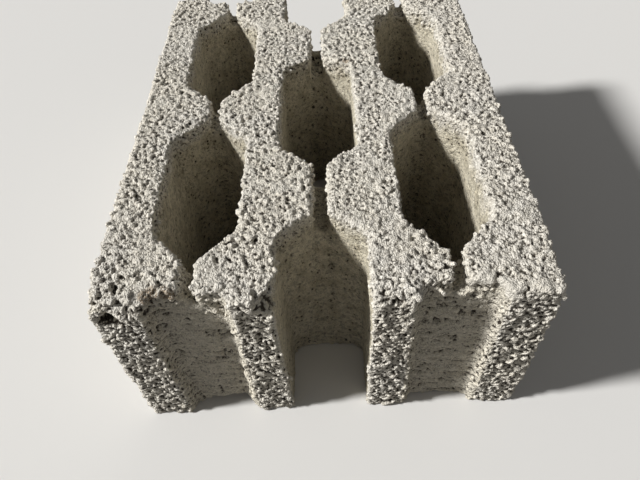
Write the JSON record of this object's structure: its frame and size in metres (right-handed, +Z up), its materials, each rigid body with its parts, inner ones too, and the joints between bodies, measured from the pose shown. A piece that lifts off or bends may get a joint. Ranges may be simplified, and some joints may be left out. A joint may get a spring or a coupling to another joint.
{
  "type": "hollow concrete wall block",
  "caption": "Long hollow wall block of porous lightweight concrete, with staggered cells between wavy walls, slits sunk in the web tops and open recessed ends.",
  "frame": {"origin": "middle of the lower bed face, at floor level", "axes": "+X through the wall's thickness, +Y along the block, +Z up, out of the bed face that the web slits open in"},
  "size_m": [0.375, 0.5, 0.2],
  "materials": {
    "concrete": "rough, open-textured, porous, grey with cream cell walls"
  },
  "bodies": {
    "root": {"concrete_block": "concrete"}
  },
  "joints": []
}
